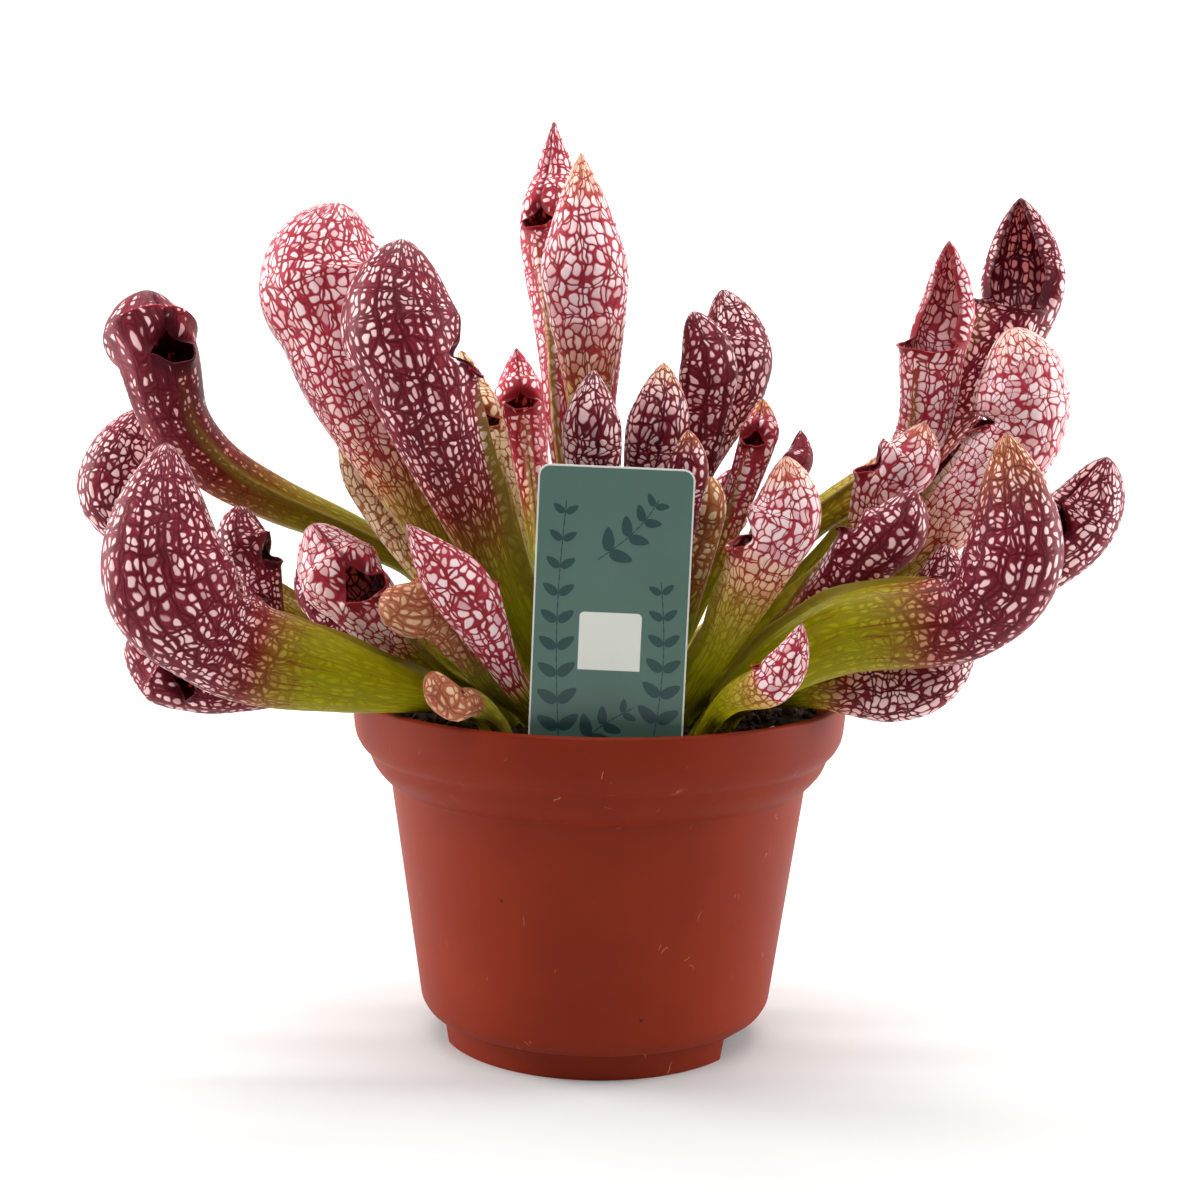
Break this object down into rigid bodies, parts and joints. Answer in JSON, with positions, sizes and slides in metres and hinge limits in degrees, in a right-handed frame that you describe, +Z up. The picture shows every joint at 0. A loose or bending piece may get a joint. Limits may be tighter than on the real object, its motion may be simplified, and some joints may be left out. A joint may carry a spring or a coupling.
{
  "type": "potted pitcher plant",
  "caption": "Carnivorous house plant with hooded, net-veined pitcher leaves, rooted in peat in a round nursery pot with a plant label.",
  "frame": {"origin": "middle of the pot's foot ring, on the surface that the pot stands on, under the middle of the plant's box to within 2 mm", "axes": "+X to the right along the widest spread of the leaves, -Y towards someone who looks at the label, +Z up along the pot's axis"},
  "size_m": [0.3026, 0.1607, 0.265],
  "materials": {
    "terracotta_plastic": "satin, lightly scuffed terracotta-coloured plastic",
    "peat": "rough, crumbly, damp",
    "label_card": "smooth printed plastic card",
    "leaf_dark": "satin maroon with small pale windows between net veins, green at the stalk",
    "leaf_light": "satin pale pink and white windows between crimson net veins, green at the stalk",
    "leaf_olive": "satin yellow-green with fine red net veins",
    "leaf_tan": "dry matt tan with brown net veins"
  },
  "bodies": {
    "root": {"pot": "terracotta_plastic", "peat": "peat", "label": "label_card", "pitcher_left_01": "leaf_dark", "pitcher_left_02": "leaf_dark", "pitcher_left_03": "leaf_dark", "pitcher_left_04": "leaf_dark", "pitcher_left_05": "leaf_dark", "pitcher_left_06": "leaf_light", "pitcher_left_07": "leaf_dark", "pitcher_left_08": "leaf_tan", "pitcher_left_09": "leaf_light", "pitcher_left_10": "leaf_olive", "pitcher_left_11": "leaf_light", "pitcher_left_12": "leaf_dark", "pitcher_left_13": "leaf_dark", "pitcher_left_14": "leaf_tan", "pitcher_middle_01": "leaf_olive", "pitcher_middle_02": "leaf_light", "pitcher_middle_03": "leaf_light", "pitcher_middle_04": "leaf_light", "pitcher_middle_05": "leaf_light", "pitcher_middle_06": "leaf_dark", "pitcher_middle_07": "leaf_dark", "pitcher_middle_08": "leaf_dark", "pitcher_middle_09": "leaf_dark", "pitcher_middle_10": "leaf_dark", "pitcher_middle_11": "leaf_light", "pitcher_middle_12": "leaf_dark", "pitcher_middle_13": "leaf_olive", "pitcher_right_01": "leaf_light", "pitcher_right_02": "leaf_light", "pitcher_right_03": "leaf_dark", "pitcher_right_04": "leaf_light", "pitcher_right_05": "leaf_dark", "pitcher_right_06": "leaf_light", "pitcher_right_07": "leaf_dark", "pitcher_right_08": "leaf_dark", "pitcher_right_09": "leaf_dark", "pitcher_right_10": "leaf_dark", "pitcher_right_11": "leaf_light", "pitcher_right_12": "leaf_dark", "pitcher_back_01": "leaf_light", "pitcher_back_02": "leaf_dark", "pitcher_back_03": "leaf_dark", "pitcher_back_04": "leaf_light", "pitcher_back_05": "leaf_olive", "pitcher_back_06": "leaf_olive", "pitcher_back_07": "leaf_light"}
  },
  "joints": []
}
